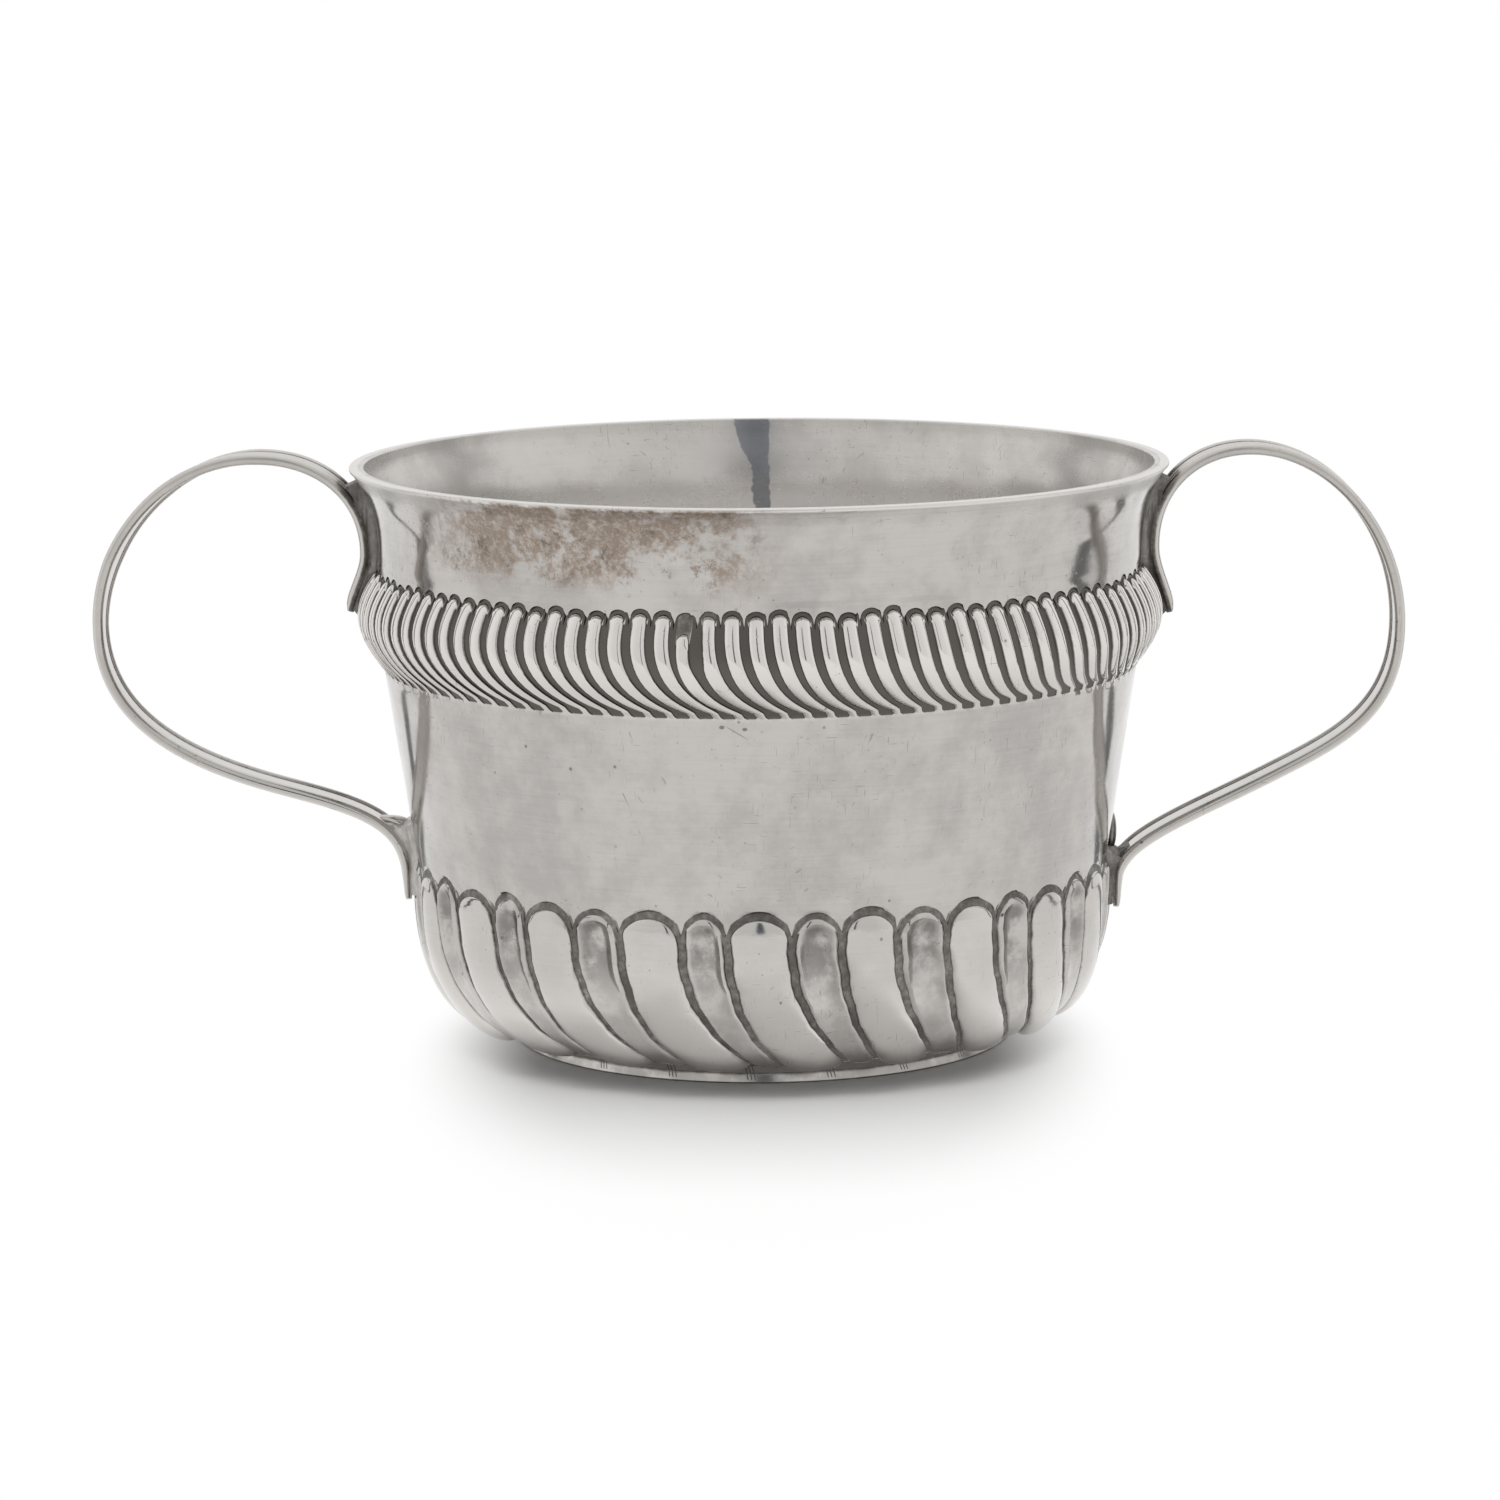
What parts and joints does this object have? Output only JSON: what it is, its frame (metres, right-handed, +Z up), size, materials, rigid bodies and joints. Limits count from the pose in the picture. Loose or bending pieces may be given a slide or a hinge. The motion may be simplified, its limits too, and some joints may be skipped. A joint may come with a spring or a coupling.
{
  "type": "caudle cup",
  "caption": "Round silver drinking cup with a strap handle on each side, a flared neck, a chased gadroon band and spiral lobes and flutes round the base.",
  "frame": {"origin": "middle of the surface the cup stands on, on the cup's axis, under the foot ring", "axes": "+Z up along the cup's axis; X through the two handles, the right handle towards +X; the front looks towards -Y"},
  "size_m": [0.1701, 0.106, 0.0771],
  "materials": {
    "body_silver": "old polished silver, tarnished in the chased lines",
    "handle_silver": "worn polished silver",
    "solder": "dark tarnished silver solder"
  },
  "bodies": {
    "root": {"cup_body": "body_silver", "lip_wire": "body_silver", "lip_solder": "body_silver", "foot_ring": "body_silver", "foot_solder": "solder", "left_handle": "handle_silver", "right_handle": "handle_silver", "left_upper_solder": "solder", "right_upper_solder": "solder", "left_lower_solder": "solder", "right_lower_solder": "solder", "left_spur": "handle_silver", "right_spur": "handle_silver"}
  },
  "joints": []
}
